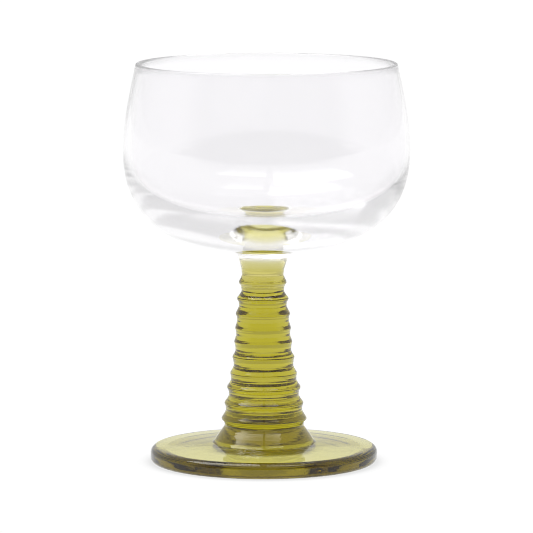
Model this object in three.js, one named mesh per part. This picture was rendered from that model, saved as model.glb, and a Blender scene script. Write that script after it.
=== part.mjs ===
// Stemmed wine glass: a clear blown bowl on a green stem with ten turned rings and a round green foot.
// Millimetres, +Z up, origin at the centre of the foot's underside.
// Every piece is a solid of revolution about Z. The four pieces are fused glass to glass, and here
// they meet face to face with a hair of clearance.

import * as THREE from 'three';

// ---- Driving dimensions ----------------------------------------------------------------------

const HEIGHT = 125;              // rim to table
const JOINT_GAP = 0.3;           // clearance between two fused pieces

const FOOT = {
  radius: 35.5,
  edgeThickness: 5,
  thickness: 6.05,               // under the stem; the top slopes gently down to the edge
  edgeTopRadius: 2.0,            // rounding of the upper edge
  edgeBottomRadius: 1.6,         // rounding of the lower edge
  contactInnerRadius: 30.5,      // the glass rests on the flat ring outside this radius
  recessDepth: 2.0,              // the underside is hollow inside that ring, deepest at the axis
};

const STEM = {
  flareRadius: 15.4,             // where the stem spreads onto the foot
  flareTopZ: 11.4,
  flareTopRadius: 12.4,
  topZ: 58.7,
  topRadius: 6.5,
};

// The turned rings from the foot upwards: height and radius of each crest, and of the crease above it.
const RINGS = [
  { crestZ: 13.7, crestRadius: 13.3, creaseZ: 16.2, creaseRadius: 11.9 },
  { crestZ: 18.5, crestRadius: 12.35, creaseZ: 20.9, creaseRadius: 10.9 },
  { crestZ: 23.5, crestRadius: 11.5, creaseZ: 25.8, creaseRadius: 10.2 },
  { crestZ: 27.9, crestRadius: 10.45, creaseZ: 30.2, creaseRadius: 9.3 },
  { crestZ: 33.0, crestRadius: 9.7, creaseZ: 35.0, creaseRadius: 8.7 },
  { crestZ: 37.9, crestRadius: 9.1, creaseZ: 39.9, creaseRadius: 8.4 },
  { crestZ: 42.2, crestRadius: 8.75, creaseZ: 44.4, creaseRadius: 8.1 },
  { crestZ: 46.7, crestRadius: 8.5, creaseZ: 49.0, creaseRadius: 7.4 },
  { crestZ: 51.4, crestRadius: 8.05, creaseZ: 53.7, creaseRadius: 6.65 },
  { crestZ: 56.6, crestRadius: 7.45, creaseZ: STEM.topZ, creaseRadius: STEM.topRadius },
];

const COLLAR = {
  waistRadius: 6.5,              // narrowest, just above the stem
  topRadius: 8.9,                // where it spreads under the bowl
  topZ: 66.2,
};

const BOWL = {
  radius: 44.7,                  // widest
  widestZ: 99.6,
  bottomZ: COLLAR.topZ + JOINT_GAP, // a flat seat as wide as the collar's top
  sag: 0.2,                      // how far the belly's curve would reach below that seat
  belly: 2.55,                   // exponent of the outside below the widest line; 2 is an ellipse
  rimRadius: 40.75,
  rimCurve: 1.5,                 // exponent of the outside's taper up to the rim
  rimWall: 1.6,
  wall: 1.8,                     // at the widest line
  floor: 7.2,                    // thickness of the glass over the collar
  innerBelly: 2.55,              // exponent of the inside below the widest line
};

const AROUND = 48;               // facets around the axis
const BOWL_STEPS = 14;           // outline points for each quarter of the bowl
const ARC_STEPS = 4;             // outline points for each small rounding

// ---- Outlines, as lists of (radius, height) ---------------------------------------------------

const point = (radius, z) => new THREE.Vector2(radius, z);

// An arc about a centre, from one angle to another in degrees, where 0 points outwards and 90 up.
function arc(centre, radius, from, to, steps = ARC_STEPS) {
  const points = [];
  for (let i = 0; i <= steps; i += 1) {
    const angle = THREE.MathUtils.degToRad(THREE.MathUtils.lerp(from, to, i / steps));
    points.push(point(centre.x + radius * Math.cos(angle), centre.y + radius * Math.sin(angle)));
  }
  return points;
}

// A smooth curve through a few points.
function smooth(points, steps) {
  return new THREE.SplineCurve(points).getPoints(steps);
}

// The lower half of the bowl, from the widest line (t = 0) down to the axis (t = 1).
function belly(radius, depth, exponent, t) {
  const angle = t * Math.PI / 2;
  const power = 2 / exponent;
  const across = radius * Math.cos(angle) ** power;
  return point(t === 1 ? 0 : across, BOWL.widestZ - depth * Math.sin(angle) ** power);
}

// The upper half of the bowl, from the widest line (t = 0) to just under the rim (t = 1).
function shoulder(radius, rimRadius, topZ, t) {
  const across = radius - (radius - rimRadius) * t ** BOWL.rimCurve;
  return point(across, THREE.MathUtils.lerp(BOWL.widestZ, topZ, t));
}

function bowlOutline() {
  const rimRound = BOWL.rimWall / 2;
  const rimZ = HEIGHT - rimRound;
  const innerRadius = BOWL.radius - BOWL.wall;
  const innerRim = BOWL.rimRadius - BOWL.rimWall;
  const outerDepth = BOWL.widestZ - BOWL.bottomZ + BOWL.sag;
  const innerDepth = BOWL.widestZ - BOWL.bottomZ - BOWL.floor;
  const outline = [point(0, BOWL.bottomZ), point(COLLAR.topRadius, BOWL.bottomZ)];
  for (let i = BOWL_STEPS - 1; i > 0; i -= 1) {
    outline.push(belly(BOWL.radius, outerDepth, BOWL.belly, i / BOWL_STEPS));
  }
  for (let i = 0; i < BOWL_STEPS / 2; i += 1) {
    outline.push(shoulder(BOWL.radius, BOWL.rimRadius, rimZ, 2 * i / BOWL_STEPS));
  }
  outline.push(...arc(point(BOWL.rimRadius - rimRound, rimZ), rimRound, 0, 180));
  for (let i = BOWL_STEPS / 2 - 1; i >= 0; i -= 1) {
    outline.push(shoulder(innerRadius, innerRim, rimZ, 2 * i / BOWL_STEPS));
  }
  for (let i = 1; i <= BOWL_STEPS; i += 1) {
    outline.push(belly(innerRadius, innerDepth, BOWL.innerBelly, i / BOWL_STEPS));
  }
  return outline;
}

function collarOutline() {
  const bottomZ = STEM.topZ + JOINT_GAP;
  const side = smooth([
    point(COLLAR.waistRadius, bottomZ),
    point(COLLAR.waistRadius + 0.35, bottomZ + 2.4),
    point(COLLAR.waistRadius + 0.95, bottomZ + 4.7),
    point(COLLAR.topRadius, COLLAR.topZ),
  ], 8);
  return [point(0, bottomZ), ...side, point(0, COLLAR.topZ)];
}

// One ring's side: out from the crease below to a rounded crest, then a slow slope in to the crease above.
function ringSide(ring) {
  const { crestZ, crestRadius, creaseZ, creaseRadius } = ring;
  const overhang = 0.93;
  const slopeZ = THREE.MathUtils.lerp(crestZ, creaseZ, 0.45);
  const slopeRadius = THREE.MathUtils.lerp(crestRadius, creaseRadius, 0.6);
  return [
    point(THREE.MathUtils.lerp(creaseRadius, crestRadius, overhang), crestZ - 0.6),
    point(crestRadius, crestZ),
    point(slopeRadius, slopeZ),
    point(creaseRadius, creaseZ),
  ];
}

function stemOutline() {
  const bottomZ = FOOT.thickness + JOINT_GAP;
  const flare = smooth([
    point(STEM.flareRadius, bottomZ),
    point(THREE.MathUtils.lerp(STEM.flareRadius, STEM.flareTopRadius, 0.24), bottomZ + 0.8),
    point(THREE.MathUtils.lerp(STEM.flareRadius, STEM.flareTopRadius, 0.7), bottomZ + 2.8),
    point(STEM.flareTopRadius, STEM.flareTopZ),
  ], 6);
  const rings = RINGS.flatMap(ringSide);
  return [point(0, bottomZ), ...flare, ...rings, point(0, STEM.topZ)];
}

function footOutline() {
  const { radius, edgeTopRadius, edgeBottomRadius, contactInnerRadius, recessDepth } = FOOT;
  const lowerEdge = arc(point(radius - edgeBottomRadius, edgeBottomRadius), edgeBottomRadius, -90, 0);
  const upperCentre = point(radius - edgeTopRadius, FOOT.edgeThickness - edgeTopRadius);
  const upperEdge = arc(upperCentre, edgeTopRadius, 0, 90);
  const top = [point(STEM.flareRadius, FOOT.thickness), point(0, FOOT.thickness)];
  const recess = smooth([
    point(0, recessDepth),
    point(contactInnerRadius * 0.6, recessDepth * 0.5),
    point(contactInnerRadius, 0),
  ], 6);
  return [...recess, ...lowerEdge, ...upperEdge, ...top];
}

// ---- Pieces ------------------------------------------------------------------------------------

const CLEAR_GLASS = { color: 0xf4f6f7, roughness: 0.02, metalness: 0, transparent: true, opacity: 0.3 };
const PALE_GLASS = { color: 0xe6e0b8, roughness: 0.02, metalness: 0, transparent: true, opacity: 0.5 };
const GREEN_GLASS = { color: 0xaea43e, roughness: 0.03, metalness: 0, transparent: true, opacity: 0.8 };

// A lathe runs about Y; turning it by a quarter about X stands the piece up along Z.
function turned(name, outline, look) {
  const geometry = new THREE.LatheGeometry(outline, AROUND);
  geometry.rotateX(Math.PI / 2);
  const mesh = new THREE.Mesh(geometry, new THREE.MeshStandardMaterial(look));
  mesh.name = name;
  return mesh;
}

const glass = new THREE.Group();
glass.add(turned('foot', footOutline(), GREEN_GLASS));
glass.add(turned('stem', stemOutline(), GREEN_GLASS));
glass.add(turned('collar', collarOutline(), PALE_GLASS));
glass.add(turned('bowl', bowlOutline(), CLEAR_GLASS));

export default glass;
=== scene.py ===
"""Looks of a stemmed wine glass: clear blown bowl, pale collar, green ringed stem and green foot.

Each piece is turned about Z at full fineness and stands for the CAD node of the same name. The pieces
are fused on the real glass, so they meet face to face, and the faces between them do not bend light.
"""

import math

import bmesh
import bpy
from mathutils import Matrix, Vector, noise


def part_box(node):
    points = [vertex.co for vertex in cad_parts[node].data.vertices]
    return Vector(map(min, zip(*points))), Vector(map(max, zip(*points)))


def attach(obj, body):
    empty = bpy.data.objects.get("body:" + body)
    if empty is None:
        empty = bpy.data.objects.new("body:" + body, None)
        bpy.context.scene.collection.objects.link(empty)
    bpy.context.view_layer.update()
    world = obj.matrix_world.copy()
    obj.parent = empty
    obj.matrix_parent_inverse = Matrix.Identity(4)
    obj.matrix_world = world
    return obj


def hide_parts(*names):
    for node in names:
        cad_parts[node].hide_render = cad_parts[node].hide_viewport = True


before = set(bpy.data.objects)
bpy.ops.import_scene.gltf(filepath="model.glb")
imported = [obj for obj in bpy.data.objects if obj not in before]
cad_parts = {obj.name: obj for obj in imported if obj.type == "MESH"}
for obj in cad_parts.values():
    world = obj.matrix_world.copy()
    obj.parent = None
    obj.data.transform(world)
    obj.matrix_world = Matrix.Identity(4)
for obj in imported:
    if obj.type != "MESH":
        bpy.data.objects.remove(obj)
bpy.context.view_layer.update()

MM = 0.001

# ---- Sizes from the frame, in millimetres ------------------------------------------------------


def reach(node):
    """Half the width of a CAD node, its lowest height and its highest height."""
    low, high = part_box(node)
    return (high.x - low.x) / 2 / MM, low.z / MM, high.z / MM


FOOT_RADIUS, _, FOOT_TOP = reach("foot")
_, STEM_BOTTOM, STEM_TOP = reach("stem")
_, COLLAR_BOTTOM, COLLAR_TOP = reach("collar")
BOWL_RADIUS, BOWL_BOTTOM, HEIGHT = reach("bowl")

# Where the fused pieces meet: halfway across the CAD model's clearances.
FOOT_SEAM = (FOOT_TOP + STEM_BOTTOM) / 2
STEM_SEAM = (STEM_TOP + COLLAR_BOTTOM) / 2
BOWL_SEAM = (COLLAR_TOP + BOWL_BOTTOM) / 2
HAIR = 0.004                     # gap at each seam, so that no two faces lie in one plane

# ---- Sizes of the outlines, in millimetres -----------------------------------------------------

COLLAR_TOP_RADIUS = 8.9
STEM_TOP_RADIUS = 6.5
FLARE_RADIUS = 16.2              # where the stem spreads onto the foot
CONTACT_RADIUS = 30.5            # the underside is hollow inside this radius
RECESS_DEPTH = 2.0               # of that hollow, at the axis
EDGE_DROP = 1.2                  # how far the foot's top slopes down to its edge
LOWER_EDGE_RADIUS = 1.6          # rounding of the foot's edge
UPPER_EDGE_RADIUS = 2.0

# The turned rings from the foot upwards: radius and height of each crest, and of the crease above it.
FIRST_CREASE = (12.4, 11.4)
RINGS = [
    ((13.3, 13.7), (11.95, 16.2)),
    ((12.35, 18.5), (10.95, 20.9)),
    ((11.5, 23.5), (10.25, 25.8)),
    ((10.45, 27.9), (9.35, 30.2)),
    ((9.7, 33.0), (8.75, 35.0)),
    ((9.1, 37.9), (8.45, 39.9)),
    ((8.75, 42.2), (8.1, 44.4)),
    ((8.5, 46.7), (7.45, 49.0)),
    ((8.05, 51.4), (6.65, 53.7)),
    ((7.45, 56.6), (STEM_TOP_RADIUS, STEM_SEAM)),
]

WIDEST_Z = 99.6
BELLY = 2.55                     # exponent of the outside below the widest line; 2 is an ellipse
SEAT_SAG = 0.2                   # how far the belly's curve would reach below the bowl's flat seat
INNER_BELLY = 2.65               # exponent of the inside below the widest line
RIM_RADIUS = 40.75
RIM_CURVE = 1.5                  # exponent of the taper up to the rim
RIM_WALL = 1.3
WALL = 1.8                       # at the widest line
FLOOR = 7.2                      # thickness of the glass over the collar

# How a hand-made glass strays from a true turning.
AXIS_LEAN = [(0, 0), (FOOT_SEAM, 0.15), (STEM_SEAM, -0.3), (BOWL_SEAM, -0.1), (80, 0.85), (HEIGHT, 0.9)]
INSIDE_OFFSET = 0.45             # of the bowl's inside along X, so that one wall is thicker
WAVE_LENGTH = 24                 # of the waves in the bowl's wall
WAVE_HEIGHT = 0.06

AROUND = 288                     # facets around the axis
SHARP_ANGLE = 50                 # edges steeper than this many degrees stay sharp

# ---- Outlines: lists of (radius, height) -------------------------------------------------------


def lerp(a, b, t):
    return a + (b - a) * t


def arc(radius, centre, first, last, steps):
    """Points on an arc about centre, from one angle to another in degrees; 0 points outwards, 90 up."""
    points = []
    for i in range(steps + 1):
        angle = math.radians(lerp(first, last, i / steps))
        points.append((centre[0] + radius * math.cos(angle), centre[1] + radius * math.sin(angle)))
    return points


def smooth(points, steps):
    """A curve through the points (Catmull-Rom), with that many steps between each two."""

    def between(a, b, c, d, t):
        bend = (2 * a - 5 * b + 4 * c - d) * t * t
        twist = (3 * b - a - 3 * c + d) * t ** 3
        return 0.5 * (2 * b + (c - a) * t + bend + twist)

    last = len(points) - 1
    curve = []
    for i in range(last):
        p0, p1, p2, p3 = points[max(i - 1, 0)], points[i], points[i + 1], points[min(i + 2, last)]
        for k in range(steps):
            curve.append(tuple(between(*four, k / steps) for four in zip(p0, p1, p2, p3)))
    return curve + [points[-1]]


def belly(radius, depth, exponent, t):
    """The lower half of the bowl, from the widest line (t = 0) to the axis (t = 1)."""
    angle = t * math.pi / 2
    power = 2 / exponent
    across = 0 if t == 1 else radius * math.cos(angle) ** power
    return across, WIDEST_Z - depth * math.sin(angle) ** power


def shoulder(radius, rim_radius, top, t):
    """The upper half of the bowl, from the widest line (t = 0) to just under the rim (t = 1)."""
    return radius - (radius - rim_radius) * t ** RIM_CURVE, lerp(WIDEST_Z, top, t)


def bowl_outline():
    low_steps, high_steps = 72, 36
    rim_round = RIM_WALL / 2
    rim_z = HEIGHT - rim_round
    depth = WIDEST_Z - BOWL_SEAM + SEAT_SAG
    inner_depth = WIDEST_Z - BOWL_SEAM - FLOOR
    outer = [belly(BOWL_RADIUS, depth, BELLY, i / low_steps) for i in range(low_steps, 0, -1)]
    outer = [p for p in outer if p[0] > COLLAR_TOP_RADIUS + 0.1]
    outline = [(0, BOWL_SEAM + HAIR), (COLLAR_TOP_RADIUS, BOWL_SEAM + HAIR)] + outer
    outline += [shoulder(BOWL_RADIUS, RIM_RADIUS, rim_z, i / high_steps) for i in range(high_steps)]
    outline += arc(rim_round, (RIM_RADIUS - rim_round, rim_z), 0, 180, 14)
    for i in range(high_steps - 1, -1, -1):
        outline.append(shoulder(BOWL_RADIUS - WALL, RIM_RADIUS - RIM_WALL, rim_z, i / high_steps))
    for i in range(1, low_steps + 1):
        outline.append(belly(BOWL_RADIUS - WALL, inner_depth, INNER_BELLY, i / low_steps))
    return outline


def collar_outline():
    side = smooth([
        (STEM_TOP_RADIUS, STEM_SEAM + HAIR),
        (6.72, 60.8), (7.05, 62.0), (7.39, 63.3), (7.8, 64.7), (8.45, 65.9),
        (COLLAR_TOP_RADIUS, BOWL_SEAM - HAIR),
    ], 6)
    return [(0, STEM_SEAM + HAIR)] + side + [(0, BOWL_SEAM - HAIR)]


def ring_outline(crease_below, crest, crease_above):
    """Slowly out from the crease below, over the crest, then quickly in to the crease above."""
    (r0, z0), (rc, zc), (r1, z1) = crease_below, crest, crease_above
    slope = smooth([
        crease_below,
        (lerp(r0, rc, 0.04), lerp(z0, zc, 0.3)),
        (lerp(r0, rc, 0.3), lerp(z0, zc, 0.62)),
        (rc - 0.06, zc - 0.32),
        crest,
    ], 7)
    top = smooth([
        crest,
        (rc - 0.1, zc + 0.38),
        (lerp(rc, r1, 0.55), lerp(zc, z1, 0.55)),
        crease_above,
    ], 7)
    return slope[:-1] + top[:-1]


def stem_outline():
    bottom = FOOT_SEAM + HAIR
    flare = smooth([
        (FLARE_RADIUS, bottom),
        (15.6, 6.85), (14.95, 7.8), (14.2, 8.9), (13.45, 9.9), (12.85, 10.7),
        FIRST_CREASE,
    ], 6)
    outline = [(0, bottom)] + flare[:-1]
    crease = FIRST_CREASE
    for crest, crease_above in RINGS:
        outline += ring_outline(crease, crest, crease_above)
        crease = crease_above
    return outline + [(STEM_TOP_RADIUS, STEM_SEAM - HAIR), (0, STEM_SEAM - HAIR)]


def foot_outline():
    edge_z = FOOT_SEAM - EDGE_DROP
    recess = smooth([(0, RECESS_DEPTH), (CONTACT_RADIUS * 0.6, RECESS_DEPTH / 2), (CONTACT_RADIUS, 0)], 12)
    lower_centre = (FOOT_RADIUS - LOWER_EDGE_RADIUS, LOWER_EDGE_RADIUS)
    lower = arc(LOWER_EDGE_RADIUS, lower_centre, -90, 0, 10)
    upper_centre = (FOOT_RADIUS - UPPER_EDGE_RADIUS, edge_z - UPPER_EDGE_RADIUS)
    upper = arc(UPPER_EDGE_RADIUS, upper_centre, 0, 86, 12)
    top = smooth([upper[-1], (24, lerp(FOOT_SEAM, edge_z, 0.46)), (FLARE_RADIUS, FOOT_SEAM - HAIR)], 10)
    return recess + lower[:-1] + upper + top[1:] + [(0, FOOT_SEAM - HAIR)]


# ---- Turning an outline into a piece -----------------------------------------------------------


def lean(z):
    """How far the axis wanders along X at this height."""
    for (z0, x0), (z1, x1) in zip(AXIS_LEAN, AXIS_LEAN[1:]):
        if z <= z1:
            t = max(0, (z - z0) / (z1 - z0))
            return lerp(x0, x1, t * t * (3 - 2 * t))
    return AXIS_LEAN[-1][1]


def is_seam(a, b):
    """True for an outline step that lies in one of the seams between two fused pieces."""
    seams = (FOOT_SEAM, STEM_SEAM, BOWL_SEAM)
    return any(abs(a[1] - z) < 2 * HAIR and abs(b[1] - z) < 2 * HAIR for z in seams)


def turned(name, outline, material, push=None):
    """A closed solid of revolution. push gives each point's offset in millimetres.

    The face attribute "skin" is 1 where the glass meets the air and 0 in the seams between the pieces.
    """
    mesh = bmesh.new()
    skin = mesh.faces.layers.float.new("skin")
    loops = []
    for index, (radius, z) in enumerate(outline):
        turns = 1 if radius < 1e-6 else AROUND
        loop = []
        for k in range(turns):
            angle = 2 * math.pi * k / AROUND
            p = Vector((radius * math.cos(angle), radius * math.sin(angle), z))
            if push:
                p += push(p, index / (len(outline) - 1))
            p.x += lean(z)
            loop.append(mesh.verts.new(p * MM))
        loops.append(loop)
    for i in range(len(loops) - 1):
        low, high = loops[i], loops[i + 1]
        glassy = 0.0 if is_seam(outline[i], outline[i + 1]) else 1.0
        for k in range(AROUND):
            n = (k + 1) % AROUND
            corners = [low[0]] if len(low) == 1 else [low[k], low[n]]
            corners += [high[0]] if len(high) == 1 else [high[n], high[k]]
            face = mesh.faces.new(corners)
            face.smooth = True
            face[skin] = glassy
    bmesh.ops.recalc_face_normals(mesh, faces=mesh.faces)
    data = bpy.data.meshes.new(name)
    mesh.to_mesh(data)
    mesh.free()
    data.set_sharp_from_angle(angle=math.radians(SHARP_ANGLE))
    piece = bpy.data.objects.new(name, data)
    bpy.context.scene.collection.objects.link(piece)
    data.materials.append(material)
    return piece


# ---- Materials ---------------------------------------------------------------------------------

IOR = 1.5
SMEAR_SIZE = 14                          # millimetres across a patch of smears
RIM_ROUGHNESS = 0.25
STEM_PATH = (0.0280, 0.0325, 0.1035)     # absorbed per millimetre of glass, for red, green and blue
FOOT_PATH = (0.026, 0.0305, 0.145)
GREEN_THROUGH = (0.467, 0.413, 0.02)     # light left after crossing the stem
FADED_THROUGH = (0.56, 0.5, 0.14)        # the same where the stem meets the collar

# Up the stem: share of its height, light left after crossing it, and millimetres of glass crossed.
STEM_CROSSINGS = [(0.0, GREEN_THROUGH, 25), (0.35, GREEN_THROUGH, 20), (0.88, GREEN_THROUGH, 14),
                  (1.0, FADED_THROUGH, 13)]


class Nodes:
    """Adds nodes to a material or world and joins them."""

    def __init__(self, tree):
        self.tree = tree
        tree.nodes.clear()

    def add(self, kind, settings=None, **inputs):
        node = self.tree.nodes.new(kind)
        for key, value in (settings or {}).items():
            setattr(node, key, value)
        for key, value in inputs.items():
            self.put(node.inputs[key.replace("_", " ")], value)
        return node

    def put(self, socket, value):
        if isinstance(value, bpy.types.NodeSocket):
            self.tree.links.new(value, socket)
        else:
            socket.default_value = value

    def math(self, operation, *values):
        node = self.tree.nodes.new("ShaderNodeMath")
        node.operation = operation
        for socket, value in zip(node.inputs, values):
            self.put(socket, value)
        return node.outputs[0]


def glass(name, colour_of, relief_of, roughness_of, path=None):
    """Glass whose seam faces let light straight through.

    colour_of, relief_of and roughness_of add the skin's nodes. path is how strongly each millimetre of
    the glass absorbs red, green and blue.
    """
    material = bpy.data.materials.new(name)
    material.use_nodes = True
    nodes = Nodes(material.node_tree)
    skin = nodes.add("ShaderNodeAttribute", {"attribute_name": "skin"}).outputs["Fac"]
    ior = nodes.add("ShaderNodeMapRange", Value=skin, To_Min=1.0, To_Max=IOR)
    tint = nodes.add("ShaderNodeMix", {"data_type": "RGBA"})
    nodes.put(tint.inputs["Factor"], skin)
    clear, coloured = tint.inputs[6:8]
    nodes.put(clear, (1, 1, 1, 1))
    nodes.put(coloured, colour_of(nodes))
    shader = nodes.add("ShaderNodeBsdfPrincipled", IOR=IOR, Transmission_Weight=1.0)
    nodes.put(shader.inputs["IOR"], ior.outputs["Result"])
    nodes.put(shader.inputs["Base Color"], tint.outputs[2])
    nodes.put(shader.inputs["Roughness"], nodes.math("MULTIPLY", roughness_of(nodes), skin))
    nodes.put(shader.inputs["Normal"], relief_of(nodes, skin))
    output = nodes.add("ShaderNodeOutputMaterial", Surface=shader.outputs[0])
    if path:
        colour = [1 - c / max(path) for c in path]
        volume = nodes.add("ShaderNodeVolumeAbsorption", Color=(*colour, 1), Density=max(path) / MM)
        nodes.put(output.inputs["Volume"], volume.outputs[0])
    return material


def smear(nodes, low, high):
    """Roughness between two values in soft patches, as a handled and washed glass has."""
    place = nodes.add("ShaderNodeTexCoord").outputs["Object"]
    patches = nodes.add("ShaderNodeTexNoise", Vector=place, Scale=1 / (SMEAR_SIZE * MM), Detail=3.0)
    return nodes.add("ShaderNodeMapRange", Value=patches.outputs["Fac"], From_Min=0.35, From_Max=0.65,
                     To_Min=low, To_Max=high).outputs["Result"]


def relief(nodes, skin, across, along, depth):
    """A bump of noise that repeats about every `across` mm sideways and `along` mm upwards."""
    place = nodes.add("ShaderNodeTexCoord").outputs["Object"]
    per_wave = (1 / (across * MM), 1 / (across * MM), 1 / (along * MM))
    squeezed = nodes.add("ShaderNodeMapping", Vector=place, Scale=per_wave)
    waves = nodes.add("ShaderNodeTexNoise", Vector=squeezed.outputs[0], Scale=1.0, Detail=2.0)
    bump = nodes.add("ShaderNodeBump", Height=waves.outputs["Fac"], Distance=depth * MM, Strength=skin)
    return bump.outputs[0]


def ramp(nodes, value, stops):
    """Colours by value; stops are (value, colour) pairs between 0 and 1."""
    node = nodes.add("ShaderNodeValToRGB", Fac=value)
    elements = node.color_ramp.elements
    while len(elements) < len(stops):
        elements.new(0.5)
    for element, (place, colour) in zip(elements, stops):
        element.position = place
        element.color = (*colour, 1)
    return node.outputs["Color"]


def height_of(nodes, low, high):
    """The height of the shaded point, running from 0 at low to 1 at high, both in millimetres."""
    place = nodes.add("ShaderNodeTexCoord").outputs["Object"]
    z = nodes.add("ShaderNodeSeparateXYZ", Vector=place).outputs["Z"]
    return nodes.add("ShaderNodeMapRange", Value=z, From_Min=low * MM, From_Max=high * MM).outputs["Result"]


def skin_tint(through, millimetres):
    """The skin's colour so that this much light gets through that many millimetres of the stem."""
    return tuple(min(1, t / math.exp(-a * millimetres)) for t, a in zip(through, STEM_PATH))


def bowl_colour(nodes):
    return (0.962, 0.956, 0.968, 1)


def collar_colour(nodes):
    """Olive at the stem, nearly clear at the bowl."""
    height = height_of(nodes, STEM_SEAM, BOWL_SEAM)
    return ramp(nodes, height, [(0.0, FADED_THROUGH), (0.3, (0.7, 0.63, 0.14)), (0.6, (0.8, 0.75, 0.32)),
                                (0.85, (0.96, 0.94, 0.86))])


def stem_colour(nodes):
    """One depth of green from the wide base to the narrow top."""
    height = height_of(nodes, FOOT_SEAM, STEM_SEAM)
    return ramp(nodes, height, [(z, skin_tint(through, width)) for z, through, width in STEM_CROSSINGS])


def foot_colour(nodes):
    return (0.84, 0.82, 0.55, 1)


def bowl_relief(nodes, skin):
    return relief(nodes, skin, 9, 16, 0.02)


def stem_relief(nodes, skin):
    return relief(nodes, skin, 18, 0.8, 0.06)


def foot_relief(nodes, skin):
    return relief(nodes, skin, 7, 7, 0.03)


def bowl_roughness(nodes):
    """The wall's smears, and the softer glass of the fire-polished rim."""
    rim = height_of(nodes, HEIGHT - 3, HEIGHT - 0.5)
    return nodes.math("ADD", smear(nodes, 0.03, 0.06), nodes.math("MULTIPLY", rim, RIM_ROUGHNESS))


def green_roughness(nodes):
    return smear(nodes, 0.0, 0.006)


bowl_glass = glass("bowl_glass", bowl_colour, bowl_relief, bowl_roughness)
collar_glass = glass("collar_glass", collar_colour, stem_relief, green_roughness)
stem_glass = glass("stem_glass", stem_colour, stem_relief, green_roughness, STEM_PATH)
foot_glass = glass("foot_glass", foot_colour, foot_relief, green_roughness, FOOT_PATH)

# ---- Pieces ------------------------------------------------------------------------------------


def blown(p, along):
    """The slight waves of a blown bowl, and its inside off centre.

    along runs from 0 at the start of the outline, on the outside, to 1 at its end, on the inside.
    """
    wave = noise.noise(p / WAVE_LENGTH) * WAVE_HEIGHT
    out = Vector((p.x, p.y, 0)).normalized() * wave
    inside = along > 0.5
    return out + Vector((INSIDE_OFFSET if inside else 0, 0, 0))


pieces = {
    "foot": turned("foot_disc", foot_outline(), foot_glass),
    "stem": turned("stem_ringed", stem_outline(), stem_glass),
    "collar": turned("collar_waist", collar_outline(), collar_glass),
    "bowl": turned("bowl_blown", bowl_outline(), bowl_glass, blown),
}
for node, piece in pieces.items():
    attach(piece, "root")
    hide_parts(node)

# ---- Studio ------------------------------------------------------------------------------------

scene = bpy.context.scene
scene.view_settings.view_transform = "Standard"
scene.cycles.filter_width = 1.0
BOUNCES = 160                    # light is trapped for long in the bowl's wall and rim
scene.cycles.max_bounces = BOUNCES
scene.cycles.transmission_bounces = BOUNCES
scene.cycles.glossy_bounces = BOUNCES
scene.cycles.transparent_max_bounces = 32

WHITE = 1.02                     # radiance of the pale floor and backdrop where the camera sees them
BACKDROP = 0.99                  # the same where the glass sees them
FLOOR_GLOW = 1.05                # radiance of the lit floor
FRONT_FLOOR = 0.2                # radiance of the floor at the camera's end of the table
PAPER = 0.85                     # reflectance of the floor in the shade under the stem
SHADE = 0.78                     # darkest part of the shadow beside the foot
FLOOR_HALF = 8.0                 # metres from the middle of the floor to its sides
FLOOR_Z = -0.00005               # just under the foot, so that no two faces lie in one plane
SOFTBOX_HEIGHT = 1.1
SOFTBOX_FRONT = 0.9              # radiance of the softboxes towards the camera
SOFTBOX_OVERHEAD = 5.0           # and straight above the glass
FRONT_LOW = 0.32                 # radiance of the room behind the camera, near the table
FRONT_HIGH = 0.6                 # and higher up


def new_material(name):
    material = bpy.data.materials.new(name)
    material.use_nodes = True
    return material, Nodes(material.node_tree)


def step(nodes, value, first, last, low=0.0, high=1.0):
    """A soft step from low to high while value goes from first to last."""
    soft = {"interpolation_type": "SMOOTHSTEP"}
    ends = {"From_Min": first, "From_Max": last, "To_Min": low, "To_Max": high}
    return nodes.add("ShaderNodeMapRange", soft, Value=value, **ends).outputs["Result"]


def blend(nodes, factor, a, b):
    return nodes.add("ShaderNodeMix", {"data_type": "FLOAT"}, Factor=factor, A=a, B=b).outputs["Result"]


def sheet(name, x0, x1, y0, y1, z, material):
    """A level rectangle for the stage."""
    data = bpy.data.meshes.new(name)
    data.from_pydata([(x0, y0, z), (x1, y0, z), (x1, y1, z), (x0, y1, z)], [], [(0, 1, 2, 3)])
    data.materials.append(material)
    piece = bpy.data.objects.new(name, data)
    scene.collection.objects.link(piece)
    return piece


def floor_paper():
    """A lit white floor: plain paper in the shade under the stem, glowing evenly further out.

    The camera sees it white with a faint painted shadow beside the foot, where ambient occlusion darkens
    the glow, and the glass sees it dim towards the camera's end.
    """
    material, nodes = new_material("floor_paper")
    place = nodes.add("ShaderNodeTexCoord").outputs["Object"]
    y = nodes.add("ShaderNodeSeparateXYZ", Vector=place).outputs["Y"]
    from_axis = nodes.add("ShaderNodeVectorMath", {"operation": "LENGTH"}, Vector=place).outputs["Value"]
    seen = nodes.add("ShaderNodeLightPath").outputs["Is Camera Ray"]
    openness = nodes.add("ShaderNodeAmbientOcclusion", {"samples": 8}, Distance=0.014).outputs["AO"]
    # Painted shadow: ambient occlusion darkens the floor's glow beside the foot, where the camera sees the
    # floor.
    white_with_painted_shadow = nodes.math("MULTIPLY", step(nodes, openness, 0.45, 0.95, SHADE, 1.0), WHITE)
    glow = blend(nodes, seen, step(nodes, y, -0.8, -0.45, FRONT_FLOOR, FLOOR_GLOW), white_with_painted_shadow)
    paper = nodes.add("ShaderNodeBsdfDiffuse", Color=(PAPER, PAPER, PAPER, 1))
    light = nodes.add("ShaderNodeEmission", Strength=glow)
    mix = nodes.add("ShaderNodeMixShader", Fac=step(nodes, from_axis, 0.012, 0.019))
    nodes.put(mix.inputs[1], paper.outputs[0])
    nodes.put(mix.inputs[2], light.outputs[0])
    nodes.add("ShaderNodeOutputMaterial", Surface=mix.outputs[0])
    return material


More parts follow.
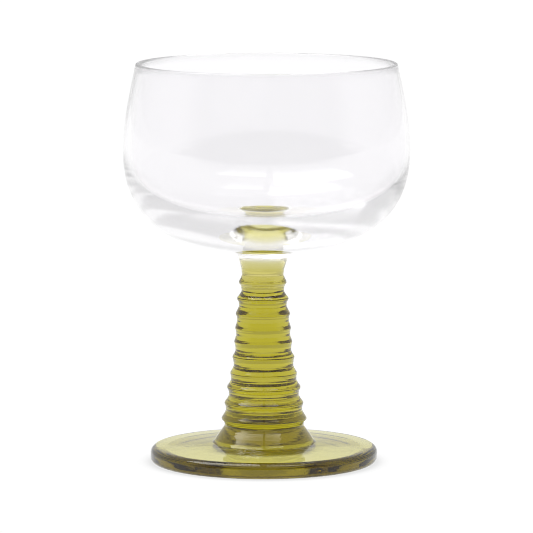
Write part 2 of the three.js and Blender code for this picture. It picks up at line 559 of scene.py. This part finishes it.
def softbox(name, x0, x1, y0, y1):
    """A soft light above the glass, dimmer towards the camera. The sizes are in units of its height."""
    h = SOFTBOX_HEIGHT
    material, nodes = new_material(name + "_light")
    place = nodes.add("ShaderNodeTexCoord").outputs["Object"]
    y = nodes.add("ShaderNodeSeparateXYZ", Vector=place).outputs["Y"]
    strength = step(nodes, y, -0.7 * h, 0.0, SOFTBOX_FRONT, SOFTBOX_OVERHEAD)
    light = nodes.add("ShaderNodeEmission", Strength=strength)
    nodes.add("ShaderNodeOutputMaterial", Surface=light.outputs[0])
    box = sheet(name, x0 * h, x1 * h, y0 * h, y1 * h, h, material)
    box.visible_camera = False


def room():
    """A white backdrop behind and beside the glass, and the dimmer room behind the camera."""
    world = bpy.data.worlds.new("room")
    world.use_nodes = True
    nodes = Nodes(world.node_tree)
    direction = nodes.add("ShaderNodeTexCoord").outputs["Generated"]
    split = nodes.add("ShaderNodeSeparateXYZ", Vector=direction)
    seen = nodes.add("ShaderNodeLightPath").outputs["Is Camera Ray"]
    front = step(nodes, split.outputs["Z"], 0.12, 0.5, FRONT_LOW, FRONT_HIGH)
    around = blend(nodes, step(nodes, split.outputs["Y"], -0.62, -0.2), front, BACKDROP)
    light = nodes.add("ShaderNodeBackground", Strength=blend(nodes, seen, around, WHITE))
    nodes.add("ShaderNodeOutputWorld", Surface=light.outputs[0])
    return world


scene.world = room()
sheet("floor", -FLOOR_HALF, FLOOR_HALF, -FLOOR_HALF, FLOOR_HALF, FLOOR_Z, floor_paper())
softbox("softbox_left", -1.1, -0.04, -1.1, 0.35)
softbox("softbox_right", 0.035, 0.6, -1.1, -0.2)

# ---- Camera ------------------------------------------------------------------------------------

DISTANCE = 1.442
EYE_HEIGHT = 0.2444
SIDE = 0.00088                   # how far the camera stands to the right of the axis
PITCH = 0.12623                  # radians below level
FOCAL_LENGTH = 314.8

lens = bpy.data.cameras.new("camera")
lens.sensor_width = 36
lens.lens = FOCAL_LENGTH
camera = bpy.data.objects.new("camera", lens)
camera.location = (SIDE, -DISTANCE, EYE_HEIGHT)
camera.rotation_euler = (math.pi / 2 - PITCH, 0, 0)
scene.collection.objects.link(camera)
scene.camera = camera
